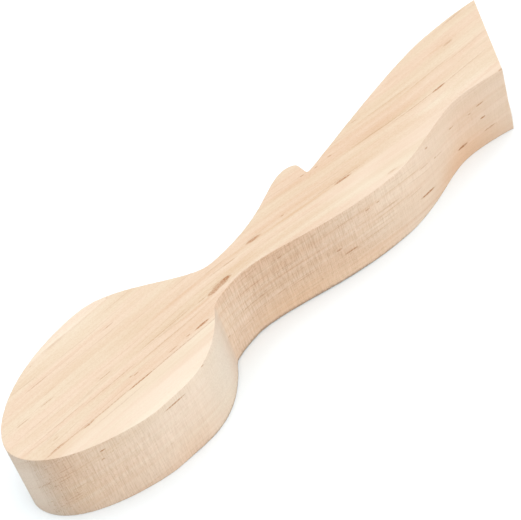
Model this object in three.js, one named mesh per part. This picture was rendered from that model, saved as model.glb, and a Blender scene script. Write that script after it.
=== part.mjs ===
// A spoon blank for carving practice: one board of pale hardwood, band-sawn to the plan of a
// spoon and left at full board thickness. Millimetres, +Z up. +X runs from the tip of the bowl
// to the tail of the handle, left is +Y, and the origin is under the middle of the blank.

import * as THREE from 'three';

const BOARD_THICKNESS = 28;

// The plan is drawn with x counted from the tip of the bowl and y from the board's middle line.
// A knot is a point that the outline passes. heading is the way the outline runs there, in
// degrees from +X; before and after are the handle lengths of the curves on its two sides.

// Bowl: a blunt egg, widest further back on its left side than on its right
const TIP = { x: 0, y: -0.5, heading: -90, before: 10.5, after: 19.5 };
const RIGHT_BELLY = { x: 40, y: -28.9, heading: 0, before: 7, after: 14 };
const LEFT_BELLY = { x: 52.5, y: 28.8, heading: 180, before: 17, after: 34 };

// Neck: the narrowest place, which the bowl's right side meets in a tight shoulder
const RIGHT_SHOULDER = { x: 81, y: -11.4, heading: 50, before: 25, after: 2.8 };
const RIGHT_NECK = { x: 96, y: -7.8, heading: 0, before: 2, after: 16 };
const LEFT_NECK = { x: 94.5, y: 4.8, heading: 180, before: 27, after: 11 };

// Handle, right side: one long bulge and a waist, and then it spreads to the tail
const BULGE = { x: 161, y: -20.7, heading: 0, before: 30.5, after: 9.5 };
const WAIST = { x: 198, y: -13.3, heading: 0, before: 8.5, after: 8 };

// Handle, left side: a crest, a step down behind it that leans back a little, and a long swell
const CREST = { x: 140, y: 16.1, heading: 180, before: 2.4, after: 10 };
const STEP_TOP = { x: 144.8, y: 13.1, heading: 81, after: 1.6 };
const STEP_FOOT = { x: 144.1, y: 8.5, heading: 81, before: 0.7 };
const NOTCH = { x: 145.2, y: 7.6, heading: 188, before: 6.5, after: 0.8 };
const SWELL = { x: 219, y: 20.9, heading: 180, before: 2, after: 19.5 };

// Tail: one straight cut across the handle at a slant
const TAIL_RIGHT = { x: 219.2, y: -17.3, heading: -15, before: 5 };
const TAIL_LEFT = { x: 245.2, y: 18.9, heading: 169.6, after: 12 };

// Straight pieces that stand in for one curve between two knots
const CURVE_STEPS = 14;

const WOOD_COLOUR = 0xedd4bb;
const WOOD_ROUGHNESS = 0.8;

// A point off the knot along its heading, or back along it when the distance is negative
function handle(knot, distance) {
  const angle = THREE.MathUtils.degToRad(knot.heading);
  return new THREE.Vector2(
    knot.x + distance * Math.cos(angle),
    knot.y + distance * Math.sin(angle),
  );
}

function curveThrough(shape, knots) {
  for (let i = 1; i < knots.length; i += 1) {
    const from = knots[i - 1];
    const to = knots[i];
    const leaving = handle(from, from.after);
    const entering = handle(to, -to.before);
    shape.bezierCurveTo(leaving.x, leaving.y, entering.x, entering.y, to.x, to.y);
  }
}

// From the tip along the right side, across the tail, and back along the left side
function blankPlan() {
  const plan = new THREE.Shape();
  plan.moveTo(TIP.x, TIP.y);
  curveThrough(plan, [TIP, RIGHT_BELLY, RIGHT_SHOULDER, RIGHT_NECK, BULGE, WAIST, TAIL_RIGHT]);
  plan.lineTo(TAIL_LEFT.x, TAIL_LEFT.y);
  curveThrough(plan, [TAIL_LEFT, SWELL, NOTCH, STEP_FOOT]);
  plan.lineTo(STEP_TOP.x, STEP_TOP.y);
  curveThrough(plan, [STEP_TOP, CREST, LEFT_NECK, LEFT_BELLY, TIP]);
  return plan;
}

function spoonBlank() {
  const geometry = new THREE.ExtrudeGeometry(blankPlan(), {
    depth: BOARD_THICKNESS,
    curveSegments: CURVE_STEPS,
    bevelEnabled: false,
  });
  geometry.computeBoundingBox();
  const { min, max } = geometry.boundingBox;
  geometry.translate(-(min.x + max.x) / 2, -(min.y + max.y) / 2, -min.z);

  const wood = new THREE.MeshStandardMaterial({
    color: WOOD_COLOUR,
    roughness: WOOD_ROUGHNESS,
    metalness: 0,
  });
  const blank = new THREE.Mesh(geometry, wood);
  blank.name = 'spoon_blank';
  return blank;
}

const group = new THREE.Group();
group.add(spoonBlank());

export default group;
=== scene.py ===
import math
from types import SimpleNamespace

import bpy
import numpy as np
from mathutils import Matrix, Vector, geometry


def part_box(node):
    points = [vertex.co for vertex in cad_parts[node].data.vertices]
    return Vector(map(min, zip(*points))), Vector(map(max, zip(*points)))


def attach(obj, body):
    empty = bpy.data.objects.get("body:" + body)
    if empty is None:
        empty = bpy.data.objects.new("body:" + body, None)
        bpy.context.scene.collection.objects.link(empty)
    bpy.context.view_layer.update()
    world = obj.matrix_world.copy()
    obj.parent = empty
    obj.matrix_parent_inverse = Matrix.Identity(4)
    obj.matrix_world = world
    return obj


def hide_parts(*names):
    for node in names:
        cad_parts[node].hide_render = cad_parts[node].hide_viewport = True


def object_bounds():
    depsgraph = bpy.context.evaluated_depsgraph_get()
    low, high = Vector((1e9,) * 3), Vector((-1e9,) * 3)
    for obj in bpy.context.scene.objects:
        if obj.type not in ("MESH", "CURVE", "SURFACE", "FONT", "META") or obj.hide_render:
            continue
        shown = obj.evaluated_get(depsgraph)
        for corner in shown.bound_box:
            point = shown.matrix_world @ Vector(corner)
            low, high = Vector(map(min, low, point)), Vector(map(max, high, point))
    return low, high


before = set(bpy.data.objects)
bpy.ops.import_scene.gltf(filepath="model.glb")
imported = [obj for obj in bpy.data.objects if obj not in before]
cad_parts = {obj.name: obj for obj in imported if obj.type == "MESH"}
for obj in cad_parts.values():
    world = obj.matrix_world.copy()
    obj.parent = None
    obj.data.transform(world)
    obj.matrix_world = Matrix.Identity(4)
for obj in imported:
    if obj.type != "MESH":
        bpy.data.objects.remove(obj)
cad_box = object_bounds()

MM = 0.001
NODE = "spoon_blank"
LOW, HIGH = (np.array(corner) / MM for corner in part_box(NODE))
THICKNESS = HIGH[2] - LOW[2]

# The camera looks down on the bowl's right side, turned so that the blank runs up to the right
CAMERA_LENS = 130.0
CAMERA_SENSOR = 36.0
CAMERA_DISTANCE = 644.7
CAMERA_HEADING = 59.57  # degrees from +X, seen from above
CAMERA_DROP = 41.64  # degrees below the horizon
CAMERA_ROLL = 19.965
CAMERA_TARGET = Vector((-10.06, 4.30, THICKNESS / 2))

# Mesh spacing and edges
COLUMN_STEP = 0.25
WALL_ROW_STEP = 1.2
CAP_STEP = 2.4
TOP_ARRIS = 0.16
ARRIS_STEPS = 4
CORNER_TURN = 30.0  # degrees; a turn in the outline that is sharper than this is a corner
CORNER_REACH = 1.8  # how far along the outline a corner's slant takes to die away
CORNER_ARRIS = 0.2
CURVE_POINTS = 9  # how many points each smooth curve between two CAD points has
# The planer's waves on the top and underside: their height, and their pitches along X and Y
PLANER_DEPTH = 0.012
PLANER_PITCHES = (9.0, 14.0)
TOP_SEED = 5
UNDERSIDE_SEED = 7
# How much the rounding of each edge varies: pitch, share of its size, seed
TOP_ARRIS_WAVE = (1.3, 0.5, 1)
FOOT_ARRIS_WAVE = (2.2, 0.2, 3)
# Tables of places are read at this many points, and smoothed over this many of them
TABLE_POINTS = 800
TABLE_ROUNDING = 15
MARKS_ROUNDING = 7

# Places are counted along the outline from the tip of the bowl, first along its right side.
# Here each is paired with how far the foot of the wall stands out from under the top edge.
WALL_DRIFT = [
    (0, 0.0), (15, 0.0), (35, -0.3), (53, -0.6), (60, -0.46), (68, -0.12), (76, 0.1), (84, 0.27),
    (92, 0.32), (100, 0.48), (108, 0.4), (116, 0.5), (124, 0.56), (132, 0.42), (148, 0.25),
    (160, 0.02), (172, -0.2), (185, -0.4), (198, -0.1), (214, -0.75), (240, -0.8), (250, 0.9),
    (280, 0.6), (292, -0.2), (340, 0.3), (380, 0.1), (400, 0.0), (430, -0.4), (470, 0.3),
    (510, -0.2), (545, 0.1),
]
# Places and how strongly the saw has marked the wall there, from 0 to 1
SAW_MARKS = [
    (0, 0.12), (5, 0.15), (8, 0.85), (30, 0.75), (42, 0.62), (64, 0.42), (76, 0.10), (97, 0.12),
    (104, 0.9), (140, 1.0), (150, 0.85), (165, 0.65), (182, 0.5), (195, 0.22), (238, 0.22),
    (262, 0.6), (290, 0.6), (330, 0.8), (390, 0.5), (450, 0.8), (480, 0.3), (520, 0.5), (550, 0.3),
]
SAW_RIDGE = 0.026  # height of the ridges where the marks are strongest
# The ridges' pitch, their share of the height, how much they lean, and their seed
SAW_RIDGES = [(0.5, 0.75, 0.03, 11), (0.95, 0.4, 0.05, 12)]
RIDGE_WAVER = 0.25  # how far the ridges stray sideways down the wall
RIDGE_FADE = 0.4  # the share of their height that comes and goes down the wall
# Places, the size of the rounding at the foot of the wall, and how strongly painted shade darkens the
# foot, for the dark contact line along the floor: 0 is none, and the darkest stretch is a little above 1
FOOT_EDGES = [
    (0, 0.22, 0.1), (48, 0.26, 0.15), (60, 0.32, 0.55), (76, 0.34, 0.72), (92, 0.4, 0.72),
    (100, 0.5, 0.9), (112, 0.65, 1.1), (148, 0.62, 1.0), (162, 0.45, 0.75), (176, 0.35, 0.6),
    (186, 0.3, 0.2), (215, 0.2, 0.1), (262, 0.3, 0.1), (330, 0.4, 0.3), (400, 0.3, 0.1),
    (480, 0.4, 0.3), (550, 0.24, 0.1),
]
# how far up the wall the painted shade at the foot reaches
FOOT_SHADE_HEIGHT = 1.8
# Chips in an edge: their pitch, the random height above which there is one, their depth, their seed
TOP_CHIPS = (0.8, 0.86, 0.35, 2)
FOOT_CHIPS = (1.1, 0.8, 0.25, 4)

# The grain: fibres run along X and turn towards -Y between BEND_START and BEND_END
FIBRE_LEAN = -0.03
FIBRE_BEND = -0.125
BEND_START = -22.0
BEND_END = 66.0
BEND_ROUNDING = 30.0
LAYER_TILT = 0.62  # how fast a growth layer climbs towards -Y
WANDER_DEPTH = 3.0  # how far the growth layers wander up and down
RING_SPACING = 1.9
RING_WOBBLE = 2.6  # how far the rings wobble, in ring spacings
RING_LINE = (0.075, 0.01)  # how far from its middle a ring's line starts and is full, likewise
RING_STRENGTH = 0.37  # on the planed top, and how much more on the sawn walls
RING_STRENGTH_SAWN = 0.35
BAND_PALENESS = (0.30, 0.66)  # the share of CREAM in the darkest and the palest bands

# Brown flecks that show on the top: x, y, length, width, strength
TOP_FLECKS = [
    (-112.0, -12.5, 5.6, 0.5, 0.6), (-99.6, -13.8, 4.2, 0.6, 0.6), (-77.0, -14.4, 11.5, 0.6, 0.9),
    (-62.4, -13.4, 4.0, 0.5, 0.4), (-55.5, -13.3, 1.8, 0.6, 0.5), (-49.5, -13.7, 5.8, 0.8, 0.8),
    (-109.9, -8.9, 3.0, 0.5, 0.4), (-78.3, -10.1, 1.6, 0.5, 0.5), (-76.6, -10.8, 2.6, 0.5, 0.5),
    (-59.2, 24.9, 1.2, 0.5, 0.4), (-94.8, 23.5, 1.2, 0.5, 0.35), (-37.0, -5.95, 6.0, 1.8, 0.62),
    (-33.6, -5.6, 7.0, 2.3, 0.62), (-30.9, -5.25, 5.6, 1.7, 0.72), (-30.3, -5.0, 3.2, 1.1, 1.0),
    (-12.4, 0.3, 6.4, 1.3, 0.66), (1.1, -0.25, 1.6, 0.6, 0.5), (19.2, 8.0, 1.7, 0.6, 0.5),
    (25.0, 6.7, 1.7, 0.6, 0.5), (31.7, 6.5, 1.6, 0.6, 0.45), (25.2, -6.2, 7.0, 0.9, 0.75),
    (37.1, -18.7, 4.5, 0.9, 0.28), (78.0, -3.4, 8.8, 0.9, 0.85), (98.7, 10.8, 4.4, 1.0, 0.38),
    (49.4, 11.7, 2.8, 0.6, 0.3), (111.0, 19.3, 11.5, 0.9, 0.26), (96.4, -16.8, 3.0, 1.0, 0.5),
]
# Hair lines on the top, each along one growth layer: x, y, length, strength
HAIR_LINES = [
    (-41.9, -5.3, 4.0, 0.36), (-24.5, -0.4, 6.0, 0.35), (-29.0, 0.2, 9.0, 0.22),
    (-108.0, -12.9, 24.0, 0.36), (-92.0, -13.8, 22.0, 0.38), (-66.0, -14.8, 28.0, 0.42),
    (-51.0, -15.3, 16.0, 0.30), (-98.5, 15.2, 15.0, 0.36), (-68.3, 14.1, 6.0, 0.36),
    (-112.0, 5.8, 6.0, 0.40), (-101.5, 5.9, 6.0, 0.40), (-88.7, -16.4, 20.0, 0.20),
    (-83.0, -2.2, 7.0, 0.40), (-105.0, -5.1, 26.0, 0.28), (-84.0, -6.8, 24.0, 0.30),
    (-60.0, -8.3, 28.0, 0.30), (-58.0, -4.4, 36.0, 0.30), (50.0, 0.6, 20.0, 0.35),
    (66.0, -2.5, 24.0, 0.38), (91.0, -3.9, 22.0, 0.28), (64.0, 7.9, 22.0, 0.20),
    (82.0, 5.1, 22.0, 0.15), (101.0, 3.4, 20.0, 0.18), (24.0, -5.1, 30.0, 0.30),
]
# Flecks that show on the wall: place, height, length, thickness, strength
WALL_FLECKS = [
    (31.1, 24.8, 1.8, 0.6, 0.7), (30.2, 21.2, 1.2, 0.5, 0.5), (58.5, 25.2, 9.5, 0.7, 0.7),
    (101.0, 11.7, 1.5, 0.6, 0.5), (127.0, 10.1, 4.0, 0.5, 0.35), (130.2, 24.2, 1.0, 0.6, 0.5),
    (151.0, 13.7, 3.0, 0.8, 0.6), (155.2, 10.6, 5.4, 0.7, 0.7), (165.2, 22.5, 2.0, 0.7, 0.5),
    (169.9, 22.6, 1.4, 0.6, 0.5), (193.0, 7.6, 10.4, 0.8, 0.95), (197.9, 24.2, 1.3, 0.7, 0.6),
    (201.7, 16.5, 1.0, 0.6, 0.5), (214.7, 19.2, 2.8, 0.6, 0.6), (224.4, 18.0, 2.2, 0.6, 0.5),
    (229.4, 19.3, 4.2, 0.7, 0.6), (229.6, 13.0, 2.6, 0.8, 0.9), (218.4, 7.2, 5.6, 1.1, 0.9),
    (231.5, 7.0, 4.6, 0.7, 0.5), (305.0, 16.0, 6.0, 0.8, 0.6), (352.0, 8.5, 9.0, 0.8, 0.8),
    (436.0, 19.5, 5.0, 0.7, 0.6), (505.0, 11.0, 8.0, 0.7, 0.7), (265.0, 17.0, 1.6, 0.9, 0.5),
    (194.5, 18.8, 10.0, 0.45, 0.35), (204.5, 15.7, 7.0, 0.45, 0.3), (187.0, 13.4, 15.0, 0.45, 0.28),
    (167.0, 11.2, 18.0, 0.5, 0.2), (171.0, 14.6, 16.0, 0.45, 0.18), (118.0, 20.0, 16.0, 0.45, 0.32),
    (131.0, 19.3, 14.0, 0.45, 0.28), (137.0, 10.5, 22.0, 0.45, 0.28), (138.0, 5.2, 20.0, 0.5, 0.2),
    (118.0, 13.5, 24.0, 0.6, 0.22), (124.0, 23.0, 18.0, 0.5, 0.22), (112.0, 8.0, 18.0, 0.6, 0.18),
    (16.0, 17.5, 12.0, 0.5, 0.35), (18.0, 22.0, 14.0, 0.5, 0.3), (73.6, 27.4, 2.0, 0.6, 0.5),
    (17.0, 9.0, 14.0, 0.5, 0.3), (20.0, 13.0, 12.0, 0.5, 0.25),
]
HAIR_WIDTH = 0.5
FLECK_RAGGEDNESS = 0.35
# How far from its middle a fleck ends and is full, in thicknesses
FLECK_EDGE = 0.6
FLECK_FULL = 0.3
# Flecks are this many times wider within a growth layer than they are thick, and each is as long
# as the nearest of these many thicknesses
FLECK_FLATNESS = 8.0
FLECK_SLIMNESS = (3.0, 5.0, 8.0, 13.0, 20.0, 32.0, 80.0)
# Broad soft shades: x, y, z, their half-sizes along each, and how much paler they make the wood,
# or how much darker where it is below 0
SHADES = [
    (-75, -31, 28, 52, 17, 24, 0.30), (-75, 31, 28, 52, 17, 40, 0.34), (-115, 2, 28, 40, 25, 40, 0.10),
    (30, 4, 28, 62, 12, 14, -0.16), (52, 1, 28, 18, 4.5, 5, -0.18), (66, -1, 28, 11, 4, 5, -0.12),
    (98, 12, 28, 12, 4.5, 8, -0.16), (108, 3, 28, 24, 14, 14, 0.10), (-10, 0, 28, 9, 4.5, 4, -0.16),
    (-75, -30, 12, 42, 10, 22, 0.22), (-50, -20, 12, 18, 14, 26, 0.25), (-114, -14, 13, 17, 12, 22, -0.5),
    (-14, -11, 6, 36, 9, 18, -0.16), (70, -15, 2, 52, 9, 8, -0.32), (-92, -25, 0, 34, 9, 7, -0.18),
    (80, -14, 18, 40, 8, 16, -0.06), (84, -9, 28, 28, 7, 4, 0.20), (-80, 24, 28, 44, 14, 8, 0.16),
    (64, 19, 28, 12, 6, 5, 0.36), (22, -7, 28, 24, 5, 3, -0.24), (43, -13, 28, 18, 5, 3, -0.14),
    (-60, 3, 28, 24, 10, 5, -0.14),
]
# Soft streaks along the fibres that show on the top: x, how far across the fibres, half-length,
# half-width, and how much paler or darker they make the wood
STREAKS = [
    (-80, 10.0, 46, 1.3, -0.13), (-50, 10.0, 12, 1.3, -0.10), (-78, 4.0, 34, 1.8, -0.13),
    (-38, -1.6, 32, 1.4, -0.30), (-108, -8.0, 34, 3.0, -0.24), (-48, -10.6, 18, 1.2, -0.32),
    (-77, -16.0, 16, 1.5, -0.20), (-50, -15.6, 16, 1.8, -0.30), (-108, -13.2, 24, 1.6, 0.22),
    (-24, -7.0, 14, 1.6, -0.32), (6, -2.3, 20, 1.4, -0.40), (44, -2.8, 30, 1.2, -0.10),
    (70, 2.0, 15, 4.0, 0.34), (88, 0.0, 24, 2.2, 0.24), (12, 9.7, 20, 1.8, -0.27),
    (6, 0.7, 28, 1.4, -0.22), (40, 4.4, 22, 1.2, -0.14), (36, 6.8, 22, 1.5, 0.20),
    (66, 16.8, 34, 1.8, -0.28), (98, 13.2, 18, 1.6, -0.26), (54, -0.2, 20, 1.5, 0.26),
    (-46, -1.6, 14, 1.2, -0.10), (-20, -1.7, 8, 1.0, -0.22), (-44, -10.6, 12, 1.0, -0.16),
    (17, -5.2, 8, 2.0, 0.18), (38, -13.0, 6, 1.6, -0.16),
]
# Tints on the wall: place, height, half-length, half-height, and the colour that they multiply by.
# Some are painted shade and light: those high on the wall that darken it are painted shade, and the one
# low on the handle's wall that lightens it is painted light
WALL_TINTS_AND_SHADES = [
    (2, 14, 8, 34, (1.12, 1.11, 1.10)), (15, 27, 14, 11, (0.93, 0.87, 0.82)),
    (38, 28, 34, 15, (0.95, 0.93, 0.90)), (81, 14, 18, 30, (0.955, 1.025, 1.065)),
    (100, 16, 12, 20, (0.98, 0.965, 0.94)), (130, 27, 36, 20, (0.94, 0.88, 0.83)),
    (136, 2, 38, 12, (1.08, 1.045, 0.99)), (176, 20, 24, 14, (1.04, 1.05, 1.05)),
    (219, 3, 24, 12, (1.03, 0.93, 0.85)), (152, 11, 18, 8, (0.965, 0.91, 0.87)),
    (166, 2, 22, 8, (1.01, 0.94, 0.88)), (165, 22, 8, 9, (0.98, 0.94, 0.91)),
    (58, 2, 16, 10, (0.99, 0.94, 0.90)), (20, 10, 9, 9, (1.06, 1.12, 1.15)),
    (78, 5, 14, 9, (1.03, 1.04, 1.05)), (222, 17, 16, 12, (1.0, 0.95, 0.92)),
]
# Borders between paler and darker wood: how far across the fibres, where along them the border
# starts and is full, and how much paler the wood is on its right side
BORDERS = [(-19.4, -20, -40, 0.14), (-2.6, -2, 30, 0.20)]
BORDER_SOFTNESS = 0.4
# How level a face is, from 0 for a wall to 1 for the top, where these start and are full
SAWN_FACE = (0.9, 0.3)
OFF_FLAT_FACE = (0.99, 0.9)
# How far a face turns towards the ends of the blank where end grain starts and is full
END_FACE = (0.45, 0.95)
# The strength of the saw's marks where the wall starts to be rubbed smooth, and is
RUBBED_MARKS = (0.28, 0.12)

SKY_LOW = 1.0  # the studio's light from the horizon, and from overhead
SKY_HIGH = 1.5
SIDE_WAY = (0.85, -0.53, 0.0)
SIDE_GLOW = 0.6  # added on the side that SIDE_WAY points to, and taken away on the other
# The lamp, in metres and watts
LAMP_PLACE = (-0.5, 0.95, 2.1)
LAMP_SIZE = 1.3
LAMP_POWER = 8.0
# The floor
FLOOR_HALF = 4000
FLOOR_GAP = 0.05  # the floor lies this far below the blank
FLOOR_WHITE = (0.845, 0.897, 0.927)

# The wood's own colours
CREAM = (0.709, 0.613, 0.507)
TAN = (0.590, 0.420, 0.290)
PINKISH = (1.0, 0.98, 0.97)
YELLOWISH = (0.985, 1.005, 0.98)
LINE_BROWN = (0.45, 0.29, 0.18)
FLECK_BROWN = (0.34, 0.155, 0.065)
# The grey below is painted shade, for the dark contact line where the wall meets the floor
FOOT_SHADE_GREY = (0.30, 0.215, 0.15)
# Tints that the wood's colour is multiplied by
STREAK_TINT = (0.98, 0.958, 0.935)
GRAIN_TINT = (0.955, 0.925, 0.89)
SAWN_TINT = (0.965, 0.91, 0.88)
END_GRAIN_TINT = (0.89, 0.965, 1.04)
CUT_TINT = (0.81, 0.755, 0.70)
PALE_BAND_TINT = (1.075, 1.085, 1.095)
BETWEEN_CUTS_TINT = (1.05, 1.055, 1.06)
PIT_TINT = (0.74, 0.63, 0.54)
# painted shade for the hollows between the saw's ridges
SAW_HOLLOW_SHADE = (0.95, 0.93, 0.91)
CLOUD_TINT = (0.93, 0.915, 0.90)

# Sizes of the noises' cells along three directions, in millimetres. Those that vary from layer to
# layer have their own plane of the noise as the third value, so that they don't repeat each other.
WANDER_CELLS = (70, 30, 30)  # x, across, z
STREAK_CELLS = (11, 0.42, 0.42)
GRAIN_CELLS = (0.6, 0.34, 0.34)
PIT_CELLS = (1.1, 0.5, 0.26)
RAGGED_CELLS = (5, 0.9, 0.9)
MOTTLE_CELLS = (0.7, 0.35, 0.35)
CUT_CELLS = (0.33, 0.33, 4.4)  # x, y, z
PALE_BAND_CELLS = (1.1, 1.1, 24)
CLOUD_CELLS = (0.6, 0.6, 0.6)
# the size of the noise that breaks up the painted shade at the foot
FOOT_SHADE_NOISE_SCALE = 0.9
BAND_LAYERS = (160, 2.4, 3.0)  # x, layer, plane
TINT_LAYERS = (110, 3.4, 21.0)
WOBBLE_LAYERS = (90, 3.0, 9.0)
RING_FADE_LAYERS = (16, 1.5, 5.0)
PIT_ROW_LAYERS = (45, 0.8, 14.0)

BUMP_STRENGTH = 0.35
BUMP_DEPTH = 0.05


class Graph:
    """Writes a node tree as nested calls. A value is a number, a colour or a node's output."""

    def __init__(self, tree):
        self.tree = tree

    def add(self, kind, inputs=None, **settings):
        node = self.tree.nodes.new("ShaderNode" + kind)
        for name, value in settings.items():
            setattr(node, name, value)
        for name, value in (inputs or {}).items():
            self.feed(node.inputs[name], value)
        return node

    def feed(self, socket, value):
        if isinstance(value, bpy.types.NodeSocket):
            self.tree.links.new(value, socket)
        else:
            socket.default_value = value

    def maths(self, operation, *values):
        return self.add("Math", dict(enumerate(values)), operation=operation).outputs[0]

    def plus(self, a, b):
        return self.maths("ADD", a, b)

    def minus(self, a, b):
        return self.maths("SUBTRACT", a, b)

    def times(self, a, b):
        return self.maths("MULTIPLY", a, b)

    def vector(self, x, y, z):
        return self.add("CombineXYZ", {0: x, 1: y, 2: z}).outputs[0]

    def cells(self, along, sizes):
        """A place for noise whose cells have these sizes along the three directions."""
        return self.vector(*(self.times(value, 1 / size) for value, size in zip(along, sizes)))

    def layers(self, w, sizes):
        """A place for noise that varies from layer to layer and slowly along the fibres."""
        length, thickness, plane = sizes
        return self.vector(self.times(w.x, 1 / length), self.times(w.layer, 1 / thickness), plane)

    def ramp(self, value, start, end, low=0.0, high=1.0):
        """Goes smoothly from low, where value is start, to high, where it is end."""
        inputs = {"Value": value, "From Min": start, "From Max": end, "To Min": low, "To Max": high}
        return self.add("MapRange", inputs, interpolation_type="SMOOTHSTEP").outputs[0]

    def noise(self, vector, detail=2.0, roughness=0.5):
        inputs = {"Vector": vector, "Scale": 1.0, "Detail": detail, "Roughness": roughness}
        return self.add("TexNoise", inputs).outputs[0]

    def mix(self, share, first, second):
        inputs = {0: share, 6: colour(first), 7: colour(second)}
        return self.add("Mix", inputs, data_type="RGBA").outputs[2]

    def shade(self, share, first, second):
        """Multiplies the first colour by the second, as far as share says."""
        inputs = {0: share, 6: colour(first), 7: colour(second)}
        return self.add("Mix", inputs, data_type="RGBA", blend_type="MULTIPLY").outputs[2]


def colour(value):
    return (*value, 1.0) if isinstance(value, tuple) else value


def along(pairs, places, length, rounding):
    """Values at places round the outline, smoothly between the pairs given."""
    known, values = (list(column) for column in zip(*pairs))
    dense = np.linspace(0, length, TABLE_POINTS, endpoint=False)
    line = np.interp(dense, known, values, period=length)
    spread = np.hanning(rounding)
    reach = rounding // 2
    padded = np.concatenate([line[-reach:], line, line[:reach]])
    line = np.convolve(padded, spread / spread.sum(), "valid")
    return np.interp(places, dense, line, period=length)


def hills(places, pitch, length, seed):
    """Smooth random heights from -1 to 1 round a closed line, about pitch apart."""
    count = max(3, round(length / pitch))
    heights = np.random.default_rng(seed).uniform(-1, 1, count)
    at = places / length * count
    left = np.floor(at).astype(int)
    part = at - left
    part = part * part * (3 - 2 * part)
    return heights[left % count] * (1 - part) + heights[(left + 1) % count] * part


def outline_of(node):
    """The top edge of the CAD prism: plan points in order round it, from the tip."""
    followers = {}
    points = {}
    for face in node.data.polygons:
        if abs(face.normal.z) > 0.5:
            continue
        corners = [node.data.vertices[i].co / MM for i in face.vertices]
        for a, b in zip(corners, corners[1:] + corners[:1]):
            if min(a.z, b.z) > HIGH[2] - 0.01:
                names = [(round(p.x, 2), round(p.y, 2)) for p in (a, b)]
                points[names[0]] = a
                followers[names[1]] = names[0]
    start = min(points)
    loop = [start]
    while followers[loop[-1]] != start:
        loop.append(followers[loop[-1]])
    return [Vector((points[name].x, points[name].y, 0.0)) for name in loop]


def smooth_outline(points):
    """Smooth curves through the loop's points, keeping its corners, as evenly spaced points."""
    count = len(points)
    leaving = []
    entering = []
    corners = []
    for i, point in enumerate(points):
        before = point - points[i - 1]
        after = points[(i + 1) % count] - point
        if math.degrees(before.angle(after)) > CORNER_TURN:
            corners.append(i)
            entering.append(before.normalized())
            leaving.append(after.normalized())
        else:
            way = before.normalized() * after.length + after.normalized() * before.length
            entering.append(way.normalized())
            leaving.append(way.normalized())

    first = corners[0]
    stretches = [[]]
    for k in range(count):
        i = (first + k) % count
        j = (i + 1) % count
        reach = (points[j] - points[i]).length / 3
        handles = points[i] + leaving[i] * reach, points[j] - entering[j] * reach
        curve = geometry.interpolate_bezier(points[i], *handles, points[j], CURVE_POINTS)
        stretches[-1].extend(curve[:-1])
        if j in corners:
            stretches[-1].append(points[j])
            stretches.append([])
    spaced = []
    for stretch in stretches[:-1]:
        line = np.array([p[:2] for p in stretch])
        run = np.concatenate([[0], np.cumsum(np.hypot(*np.diff(line, axis=0).T))])
        steps = np.linspace(0, run[-1], max(2, round(run[-1] / COLUMN_STEP)), endpoint=False)
        spaced.append(np.column_stack([np.interp(steps, run, line[:, k]) for k in range(2)]))
    loop = np.concatenate(spaced)
    tip = int(np.argmin(loop[:, 0]))
    return np.roll(loop, -tip, axis=0)


def outward(loop):
    """The way out of a closed loop at each of its points, and how close each is to a corner, 0 to 1.
    At a corner it is longer, so that offsets stay parallel, and its slant dies away on both sides."""
    ahead = np.roll(loop, -1, axis=0) - loop
    ahead /= np.hypot(*ahead.T)[:, None]
    behind = np.roll(ahead, 1, axis=0)
    crossed = behind[:, 0] * ahead[:, 1] - behind[:, 1] * ahead[:, 0]
    turns = np.arctan2(crossed, (ahead * behind).sum(axis=1))
    middle = ahead + behind
    middle /= np.hypot(*middle.T)[:, None]
    out = np.column_stack([middle[:, 1], -middle[:, 0]])
    nearness = np.zeros(len(loop))
    span = round(CORNER_REACH / COLUMN_STEP)
    for corner in np.flatnonzero(np.abs(turns) > math.radians(CORNER_TURN)):
        slant = math.tan(turns[corner] / 2)
        out[corner] *= math.hypot(1, slant)
        nearness[corner] = 1
        for k in range(1, span):
            share = 1 - k / span
            after = (corner + k) % len(loop)
            before = (corner - k) % len(loop)
            out[after] -= middle[after] * slant * share
            out[before] += middle[before] * slant * share
            nearness[[after, before]] = share
    return out, nearness


def cap(ring, level, ripple_seed):
    """Points and triangles that close a ring, with faint hollows from the planer."""
    low, high = ring.min(axis=0), ring.max(axis=0)
    grid = np.stack(np.meshgrid(*(np.arange(a, b, CAP_STEP) for a, b in zip(low, high))), axis=-1)
    grid = grid.reshape(-1, 2)
    grid[:, 1] += CAP_STEP / 2 * (np.round((grid[:, 0] - low[0]) / CAP_STEP) % 2)
    ahead = np.roll(ring, -1, axis=0)
    x, y = grid[:, 0, None], grid[:, 1, None]
    spans = (ring[:, 1] > y) != (ahead[:, 1] > y)
    rise = np.where(ahead[:, 1] == ring[:, 1], 1.0, ahead[:, 1] - ring[:, 1])
    crossing = ring[:, 0] + (y - ring[:, 1]) / rise * (ahead[:, 0] - ring[:, 0])
    inside = (spans & (x < crossing)).sum(axis=1) % 2 == 1
    clear = np.hypot(x - ring[:, 0], y - ring[:, 1]).min(axis=1) > CAP_STEP / 2
    grid = grid[inside & clear]
    flat = [Vector(p) for p in np.concatenate([ring, grid])]
    edges = [(i, (i + 1) % len(ring)) for i in range(len(ring))]
    made = geometry.delaunay_2d_cdt(flat, edges, [], 1, 1e-7)
    assert len(made[0]) == len(flat), "the cap's points were merged"
    # Each wave's line is longer than the blank, so that it doesn't come round again
    line = (high[0] - low[0]) * 1.2
    wave = hills(grid[:, 0] - low[0], PLANER_PITCHES[0], line, ripple_seed)
    wave = wave + hills(grid[:, 1] - low[1], PLANER_PITCHES[1], 90.0, ripple_seed + 1)
    heights = level + PLANER_DEPTH * wave
    return np.column_stack([grid, heights]), [tuple(f) for f in made[2]]


def wavering(places, length, kind):
    """What an edge's rounding is multiplied by, at places round the outline."""
    pitch, share, seed = kind
    return 1 + share * hills(places, pitch, length, seed)


def chips(places, length, kind):
    """How far the chips in an edge reach in, at places round the outline."""
    pitch, threshold, depth, seed = kind
    above = np.clip(hills(places, pitch, length, seed) - threshold, 0, 1)
    return depth * above / (1 - threshold)


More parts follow.
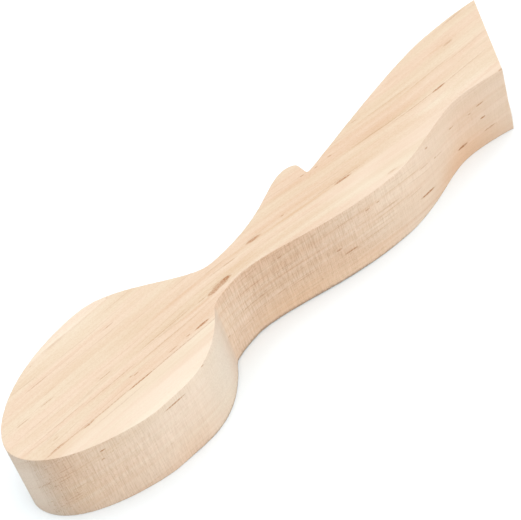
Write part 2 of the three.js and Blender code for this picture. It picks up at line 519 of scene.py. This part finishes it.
def blank_mesh(loop):
    """The whole blank as one closed mesh: rows of points down the wall, and a cap at each end."""
    count = len(loop)
    steps = np.hypot(*(np.roll(loop, -1, axis=0) - loop).T)
    places = np.concatenate([[0], np.cumsum(steps)[:-1]])
    length = steps.sum()
    out, nearness = outward(loop)

    top_radius = TOP_ARRIS * wavering(places, length, TOP_ARRIS_WAVE)
    top_radius += chips(places, length, TOP_CHIPS)
    foot_radius = along([edge[:2] for edge in FOOT_EDGES], places, length, TABLE_ROUNDING)
    foot_radius *= wavering(places, length, FOOT_ARRIS_WAVE)
    foot_radius += chips(places, length, FOOT_CHIPS)
    foot_shade_table = [(place, foot_shade_level) for place, _, foot_shade_level in FOOT_EDGES]
    foot_shade_level = along(foot_shade_table, places, length, TABLE_ROUNDING)
    top_radius = np.minimum(top_radius, TOP_ARRIS * 3) * (1 - nearness) + CORNER_ARRIS * nearness
    foot_radius = foot_radius * (1 - nearness) + CORNER_ARRIS * nearness
    drift = along(WALL_DRIFT, places, length, TABLE_ROUNDING)
    marks = along(SAW_MARKS, places, length, MARKS_ROUNDING)

    turns = np.linspace(0, math.pi / 2, ARRIS_STEPS + 1)
    wall_rows = round(THICKNESS / WALL_ROW_STEP)
    levels = []
    insets = []
    for turn in turns:
        levels.append(THICKNESS - top_radius * (1 - math.cos(turn)))
        insets.append(top_radius * (1 - math.sin(turn)))
    for row in range(1, wall_rows):
        share = row / wall_rows
        levels.append((THICKNESS - top_radius) * (1 - share) + foot_radius * share)
        insets.append(np.zeros(count))
    for turn in turns[::-1]:
        levels.append(foot_radius * (1 - math.cos(turn)))
        insets.append(foot_radius * (1 - math.sin(turn)))
    levels = np.array(levels)
    insets = np.array(insets)

    saw = np.zeros_like(levels)
    for pitch, share, lean, seed in SAW_RIDGES:
        # These two change quickly down the wall, as one line of hills wound round and round it
        waver = RIDGE_WAVER * hills(levels * 7 + places * 0.1, 9.0, 900.0, seed + 20)
        shifted = places + lean * levels + waver
        comes_and_goes = hills(levels * 17 + places, 6.0, 997.0, seed + 40)
        strength = (1 - RIDGE_FADE) + RIDGE_FADE * comes_and_goes
        saw += share * hills(shifted, pitch, length, seed) * strength
    saw *= marks * (1 - insets / np.maximum(insets.max(axis=0), 1e-6))
    offsets = drift * (1 - levels / THICKNESS) + SAW_RIDGE * saw - insets
    plan = loop[None] + out[None] * offsets[..., None]
    rows = len(levels)
    wall = np.concatenate([plan, levels[..., None]], axis=2).reshape(-1, 3)

    faces = []
    for row in range(rows - 1):
        start = row * count
        for i in range(count):
            j = (i + 1) % count
            faces.append((start + i, start + count + i, start + count + j, start + j))
    top_points, top_faces = cap(plan[0], THICKNESS, TOP_SEED)
    foot_points, foot_faces = cap(plan[-1], 0.0, UNDERSIDE_SEED)
    # The underside's hollows go up into the wood, and none goes down through the floor
    foot_points[:, 2] = np.abs(foot_points[:, 2])
    top_start = rows * count
    foot_start = top_start + len(top_points)
    last = (rows - 1) * count
    for face in top_faces:
        faces.append(tuple(i if i < count else i - count + top_start for i in face))
    for face in foot_faces:
        faces.append(tuple(i + last if i < count else i - count + foot_start for i in face[::-1]))

    mesh = bpy.data.meshes.new("sawn_blank")
    points = np.concatenate([wall, top_points, foot_points]) * MM
    mesh.from_pydata(points.tolist(), [], faces)
    mesh.polygons.foreach_set("use_smooth", np.ones(len(faces), bool))
    ends = np.zeros(len(mesh.edges) * 2, int)
    mesh.edges.foreach_get("vertices", ends)
    ends = ends.reshape(-1, 2)
    crease = (ends < count).all(axis=1) | ((ends >= last) & (ends < top_start)).all(axis=1)
    mesh.attributes.new("sharp_edge", "BOOLEAN", "EDGE").data.foreach_set("value", crease)
    # How strongly painted shade darkens each point low on the wall, for the dark contact line along the
    # floor
    painted_foot_shade = np.clip(1 - levels / FOOT_SHADE_HEIGHT, 0, 1) * foot_shade_level
    wall_marks = np.broadcast_to(marks, saw.shape)
    for name, values in (("saw_ridge", saw), ("saw_marks", wall_marks), ("painted_foot_shade", painted_foot_shade)):
        padded = np.zeros(len(points))
        padded[:top_start] = values.reshape(-1)
        mesh.attributes.new(name, "FLOAT", "POINT").data.foreach_set("value", padded)
    mesh.update()
    return mesh


def fibre_shift(x):
    """How far the fibre through (0, 0) has moved in y at x."""
    def low_of(a, b):
        h = max(BEND_ROUNDING - abs(a - b), 0) / BEND_ROUNDING
        return min(a, b) - h * h * h * BEND_ROUNDING / 6
    return FIBRE_LEAN * x + FIBRE_BEND * -low_of(-low_of(x, BEND_END), -BEND_START)


def wood_point(g):
    """What the material needs to know of a point on the surface. Places are in millimetres: x, y, z,
    across the fibres, and the growth layer, both flat and as it wanders. The rest are 0 to 1, but
    for ridge, which is about -1 to 1: how far the face is a sawn one, how far it is off the flat
    top or underside, how far it is end grain, how strongly the saw has marked it, how far the saw
    has rubbed it smooth, and the height of the saw's ridges."""
    point = g.add("TexCoord").outputs["Object"]
    point = g.add("VectorMath", {0: point, "Scale": 1 / MM}, operation="SCALE").outputs[0]
    x, y, z = g.add("SeparateXYZ", {0: point}).outputs
    clipped = g.maths("SMOOTH_MIN", x, BEND_END, BEND_ROUNDING)
    clipped = g.maths("SMOOTH_MAX", clipped, BEND_START, BEND_ROUNDING)
    across = g.minus(y, g.plus(g.times(x, FIBRE_LEAN), g.times(clipped, FIBRE_BEND)))
    wander = g.noise(g.cells((x, across, z), WANDER_CELLS))
    layer = g.plus(z, g.times(across, LAYER_TILT))
    normal = g.add("TexCoord").outputs["Normal"]
    slopes = g.add("SeparateXYZ", {0: normal}).outputs
    sawn = g.ramp(g.maths("ABSOLUTE", slopes["Z"]), *SAWN_FACE)
    marks = g.add("Attribute", attribute_name="saw_marks").outputs["Fac"]
    return SimpleNamespace(
        x=x, y=y, z=z, across=across, flat_layer=layer,
        layer=g.plus(layer, g.times(g.minus(wander, 0.5), WANDER_DEPTH)),
        sawn=sawn,
        off_flat=g.ramp(g.maths("ABSOLUTE", slopes["Z"]), *OFF_FLAT_FACE),
        end=g.ramp(g.maths("ABSOLUTE", slopes["X"]), *END_FACE),
        marks=marks,
        rubbed=g.times(sawn, g.ramp(marks, *RUBBED_MARKS)),
        ridge=g.add("Attribute", attribute_name="saw_ridge").outputs["Fac"],
    )


def add_flecks(g, w, outline):
    """The strength of the brown flecks and hair lines, which lie flat within a growth layer."""
    flecks = []
    for x, y, length, width, strength in TOP_FLECKS:
        flecks.append((x, y, THICKNESS, length, width * LAYER_TILT, strength))
    for x, y, length, strength in HAIR_LINES:
        flecks.append((x, y, THICKNESS, length, HAIR_WIDTH * LAYER_TILT, strength))
    for place, height, length, thick, strength in WALL_FLECKS:
        flecks.append((*outline(place), height, length, thick, strength))
    ragged = g.noise(g.cells((w.x, w.across, w.z), RAGGED_CELLS))
    layer = g.plus(w.flat_layer, g.times(g.minus(ragged, 0.5), FLECK_RAGGEDNESS))
    flat = g.times(w.across, 1 / FLECK_FLATNESS)
    squeezed = {slim: g.vector(g.times(w.x, 1 / slim), flat, layer) for slim in FLECK_SLIMNESS}
    total = 0.0
    for x, y, z, length, thick, strength in flecks:
        across = y - fibre_shift(x)
        slim = min(FLECK_SLIMNESS, key=lambda known: abs(math.log(known * thick / length)))
        centre = (x / slim, across / FLECK_FLATNESS, z + LAYER_TILT * across)
        away = g.add("VectorMath", {0: squeezed[slim], 1: centre}, operation="DISTANCE").outputs[1]
        shown = g.ramp(away, FLECK_EDGE * thick, FLECK_FULL * thick, 0.0, strength)
        total = g.maths("MAXIMUM", total, shown)
    return total


def patch(g, place, centre, reach, amount=1.0):
    """A soft ellipsoid: amount at its centre, and 0 from its surface outwards."""
    offset = g.add("VectorMath", {0: place, 1: centre}, operation="SUBTRACT").outputs[0]
    offset = g.add("VectorMath", {0: offset, 1: reach}, operation="DIVIDE").outputs[0]
    distance = g.add("VectorMath", {0: offset}, operation="LENGTH").outputs[1]
    return g.ramp(distance, 1.0, 0.0, 0.0, amount)


def add_shades(g, w):
    """How much paler the wood is made by the shades and streaks."""
    total = 0.0
    place = g.vector(w.x, w.y, w.z)
    for x, y, z, reach_x, reach_y, reach_z, amount in SHADES:
        total = g.plus(total, patch(g, place, (x, y, z), (reach_x, reach_y, reach_z), amount))
    place = g.vector(w.x, w.flat_layer, 0.0)
    for x, across, length, width, amount in STREAKS:
        centre = (x, THICKNESS + LAYER_TILT * across, 0.0)
        total = g.plus(total, patch(g, place, centre, (length, LAYER_TILT * width, 1.0), amount))
    return total


def tint_and_shade_wall(g, w, base, outline):
    """Colours the sawn wall's patches; some are painted shade high on the wall and painted light low on
    it.
    """
    place = g.vector(w.x, w.y, w.z)
    for where, height, reach, rise, tint in WALL_TINTS_AND_SHADES:
        tinted = patch(g, place, (*outline(where), height), (reach, reach, rise))
        base = g.shade(g.times(w.sawn, tinted), base, tint)
    return base


def growth(g, w):
    """Broad bands, and the thin lines where one year's growth ends. Returns the colour, and how far
    the top is the smooth paler wood beside a border."""
    bands = g.noise(g.layers(w, BAND_LAYERS), 3.0, 0.6)
    # They fade on end grain, and where the saw has rubbed the wall smooth
    faded = g.maths("MAXIMUM", g.times(w.end, 0.75), g.times(w.rubbed, 0.8))
    bands = g.plus(0.5, g.times(g.minus(bands, 0.5), g.minus(1.0, faded)))
    pale = g.plus(g.ramp(bands, 0.3, 0.7, *BAND_PALENESS), add_shades(g, w))
    smooth = 0.0
    for border, start, full, paler in BORDERS:
        depth = g.times(g.minus(THICKNESS, w.z), -1 / LAYER_TILT)
        edges = border + BORDER_SOFTNESS, border - BORDER_SOFTNESS
        inside = g.ramp(g.plus(w.across, depth), *edges)
        inside = g.times(inside, g.ramp(w.x, start, full))
        pale = g.plus(pale, g.times(inside, paler))
        smooth = g.maths("MAXIMUM", smooth, g.times(inside, g.minus(1.0, w.sawn)))
    base = g.mix(pale, TAN, CREAM)

    tint = g.noise(g.layers(w, TINT_LAYERS))
    tinted = g.minus(1.0, g.times(w.sawn, 0.65))
    base = g.shade(tinted, base, g.mix(g.ramp(tint, 0.38, 0.62), PINKISH, YELLOWISH))

    wobble = g.noise(g.layers(w, WOBBLE_LAYERS))
    rings = g.plus(g.times(w.layer, 1 / RING_SPACING), g.times(wobble, RING_WOBBLE))
    line = g.ramp(g.maths("PINGPONG", rings, 0.5), *RING_LINE)
    fade = g.noise(g.layers(w, RING_FADE_LAYERS))
    line = g.times(line, g.ramp(fade, 0.36, 0.72))
    # The lines are faint on the bowl's wall and towards the tail
    on_bowl_wall = g.times(w.sawn, g.ramp(w.x, -20.0, -40.0, 0.0, 0.8))
    on_tail = g.ramp(w.x, 15.0, 70.0, 0.0, 0.65)
    for hidden_by in (w.end, smooth, on_bowl_wall, on_tail, w.rubbed):
        line = g.times(line, g.minus(1.0, hidden_by))
    strength = g.plus(RING_STRENGTH, g.times(w.sawn, RING_STRENGTH_SAWN))
    return g.mix(g.times(line, strength), base, LINE_BROWN), smooth


def fibres(g, w, base, smooth):
    """Faint streaks along the fibres, and a fine grain. Returns the colour and the relief."""
    place = (w.x, w.across, w.z)
    streaks = g.noise(g.cells(place, STREAK_CELLS), 2.0, 0.6)
    grain = g.noise(g.cells(place, GRAIN_CELLS), 1.0)
    planed = g.times(g.minus(1.0, w.sawn), g.minus(1.0, g.times(smooth, 0.7)))
    base = g.shade(g.times(planed, g.ramp(streaks, 0.42, 0.75)), base, STREAK_TINT)
    base = g.shade(g.times(g.plus(planed, 0.3), g.ramp(grain, 0.35, 0.8)), base, GRAIN_TINT)
    return base, g.plus(g.times(streaks, 0.5), g.times(grain, 0.5))


def saw_cuts(g, w, base):
    """Upright lines that the saw left, painted shade in the hollows between its ridges, and rows of
    short dark pits where it cut across fibres. Returns the colour and the relief."""
    cuts = g.noise(g.cells((w.x, w.y, w.z), CUT_CELLS), 1.0)
    # The lines are weaker low on the wall, but not on the bowl
    low = g.maths("MAXIMUM", g.ramp(w.z, 2.0, 14.0, 0.5, 1.0), g.ramp(w.x, -24.0, -36.0))
    marked = g.times(g.times(w.marks, w.sawn), low)
    base = g.shade(g.times(marked, g.ramp(cuts, 0.40, 0.80)), base, CUT_TINT)
    wide = g.noise(g.cells((w.x, w.y, w.z), PALE_BAND_CELLS), 1.0)
    base = g.shade(g.times(marked, g.ramp(wide, 0.5, 0.75)), base, PALE_BAND_TINT)
    base = g.shade(g.times(marked, g.ramp(cuts, 0.48, 0.2)), base, BETWEEN_CUTS_TINT)
    rows = g.noise(g.layers(w, PIT_ROW_LAYERS), 1.0)
    pits = g.noise(g.cells((w.x, w.across, w.z), PIT_CELLS), 1.0)
    pits = g.ramp(g.plus(pits, g.times(g.minus(rows, 0.5), 0.6)), 0.58, 0.80)
    pitted = g.times(w.sawn, g.plus(g.times(w.marks, 0.9), 0.1))
    pitted = g.times(pitted, g.plus(0.6, g.times(w.end, 0.9)))
    base = g.shade(g.times(pitted, pits), base, PIT_TINT)
    # Painted shade in the hollows between the saw's ridges
    base = g.shade(g.ramp(w.ridge, 0.2, -1.0), base, SAW_HOLLOW_SHADE)
    # The rubbed parts are cloudy
    clouds = g.noise(g.cells((w.x, w.y, w.z), CLOUD_CELLS), 3.0, 0.6)
    base = g.shade(g.times(w.rubbed, g.ramp(clouds, 0.35, 0.65)), base, CLOUD_TINT)
    return base, g.minus(cuts, g.times(pits, 0.6))


def wood(outline):
    """The whole material. outline gives the plan point at a place along the outline."""
    material = bpy.data.materials.new("raw_hardwood")
    material.use_nodes = True
    tree = material.node_tree
    shader = tree.nodes["Principled BSDF"]
    g = Graph(tree)
    w = wood_point(g)
    base, smooth = growth(g, w)
    base, fibre_height = fibres(g, w, base, smooth)

    # Sawn faces are a little darker, and end grain is cooler in colour
    base = g.shade(w.sawn, base, SAWN_TINT)
    base = g.shade(g.times(w.sawn, w.end), base, END_GRAIN_TINT)
    # The wall's tints, some of them painted shade and light
    base = tint_and_shade_wall(g, w, base, outline)
    base, saw_height = saw_cuts(g, w, base)

    flecks = add_flecks(g, w, outline)
    mottle = g.noise(g.cells((w.x, w.across, w.z), MOTTLE_CELLS))
    flecks = g.times(flecks, g.ramp(mottle, 0.32, 0.62, 0.5, 1.25))
    base = g.mix(flecks, base, FLECK_BROWN)

    # Painted shade darkens the foot of the wall, for the dark contact line where it meets the floor;
    # noise makes it uneven
    place = {0: g.vector(w.x, w.y, w.z), "Scale": FOOT_SHADE_NOISE_SCALE}
    foot_shade_level = g.noise(g.add("VectorMath", place, operation="SCALE").outputs[0], 3.0)
    foot = g.add("Attribute", attribute_name="painted_foot_shade").outputs["Fac"]
    foot = g.ramp(g.plus(foot, g.times(g.minus(foot_shade_level, 0.5), 0.9)), 0.15, 0.75)
    base = g.mix(g.times(g.times(foot, w.off_flat), 0.8), base, FOOT_SHADE_GREY)

    g.feed(shader.inputs["Base Color"], base)
    rough = g.plus(0.62, g.times(w.sawn, 0.16))
    g.feed(shader.inputs["Roughness"], g.plus(rough, g.times(g.minus(fibre_height, 0.5), 0.3)))
    shader.inputs["Specular IOR Level"].default_value = 0.25
    height = g.plus(fibre_height, g.times(g.times(saw_height, w.marks), 0.8))
    relief = {"Strength": BUMP_STRENGTH, "Distance": BUMP_DEPTH * MM, "Height": height}
    bump = g.add("Bump", relief)
    g.feed(shader.inputs["Normal"], bump.outputs[0])
    return material


def white_floor():
    """The stage's floor, a hair below the blank."""
    material = bpy.data.materials.new("floor_white")
    material.use_nodes = True
    shader = material.node_tree.nodes["Principled BSDF"]
    shader.inputs["Base Color"].default_value = colour(FLOOR_WHITE)
    shader.inputs["Roughness"].default_value = 0.9
    shader.inputs["Specular IOR Level"].default_value = 0.0
    half = FLOOR_HALF * MM
    corners = [(-half, -half, 0), (half, -half, 0), (half, half, 0), (-half, half, 0)]
    mesh = bpy.data.meshes.new("floor")
    mesh.from_pydata(corners, [], [(0, 1, 2, 3)])
    mesh.materials.append(material)
    floor = bpy.data.objects.new("floor", mesh)
    bpy.context.scene.collection.objects.link(floor)
    floor.location.z = cad_box[0].z - FLOOR_GAP * MM


def studio_light():
    """A bright sky that glows more from one side, and a weak round lamp overhead."""
    world = bpy.data.worlds.new("studio")
    world.use_nodes = True
    background = world.node_tree.nodes["Background"]
    background.inputs["Color"].default_value = (1, 1, 1, 1)
    g = Graph(world.node_tree)
    way = g.add("TexCoord").outputs["Generated"]
    height = g.add("SeparateXYZ", {0: way}).outputs[2]
    glow = g.plus(SKY_LOW, g.times(height, SKY_HIGH - SKY_LOW))
    side = g.add("VectorMath", {0: way, 1: SIDE_WAY}, operation="DOT_PRODUCT").outputs[1]
    glow = g.maths("MAXIMUM", g.plus(glow, g.times(side, SIDE_GLOW)), 0.0)
    # The backdrop itself is never darker than white
    seen = g.add("LightPath").outputs["Is Camera Ray"]
    g.feed(background.inputs["Strength"], g.maths("MAXIMUM", glow, seen))
    bpy.context.scene.world = world
    lamp = bpy.data.lights.new("softbox", "AREA")
    lamp.shape = "DISK"
    lamp.size = LAMP_SIZE
    lamp.energy = LAMP_POWER
    softbox = bpy.data.objects.new("softbox", lamp)
    softbox.location = LAMP_PLACE
    softbox.rotation_euler = (-softbox.location).to_track_quat("-Z", "Y").to_euler()
    bpy.context.scene.collection.objects.link(softbox)


def camera():
    """A long lens, turned about its own axis as the photo is."""
    heading, drop, roll = (math.radians(a) for a in (CAMERA_HEADING, CAMERA_DROP, CAMERA_ROLL))
    flat = math.cos(drop)
    ahead = Vector((math.cos(heading) * flat, math.sin(heading) * flat, -math.sin(drop)))
    level = ahead.cross(Vector((0, 0, 1))).normalized()
    upright = level.cross(ahead)
    right = level * math.cos(roll) - upright * math.sin(roll)
    up = upright * math.cos(roll) + level * math.sin(roll)
    lens = bpy.data.cameras.new("camera")
    lens.lens = CAMERA_LENS
    lens.sensor_width = CAMERA_SENSOR
    lens.clip_start = 0.01
    item = bpy.data.objects.new("camera", lens)
    place = (CAMERA_TARGET - ahead * CAMERA_DISTANCE) * MM
    turn = Matrix((right, up, -ahead)).transposed().to_4x4()
    item.matrix_world = Matrix.Translation(place) @ turn
    bpy.context.scene.collection.objects.link(item)
    bpy.context.scene.camera = item


camera()
white_floor()
studio_light()
bpy.context.scene.view_settings.view_transform = "Standard"

loop = smooth_outline(outline_of(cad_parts[NODE]))
gaps = np.hypot(*(np.roll(loop, -1, axis=0) - loop).T)
starts = np.concatenate([[0], np.cumsum(gaps)])
closed = np.concatenate([loop, loop[:1]])


def at_place(place):
    """The plan point at a place along the outline."""
    return tuple(float(np.interp(place, starts, closed[:, k])) for k in range(2))


blank = bpy.data.objects.new("sawn_blank", blank_mesh(loop))
bpy.context.scene.collection.objects.link(blank)
blank.data.materials.append(wood(at_place))
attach(blank, "root")
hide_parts(NODE)
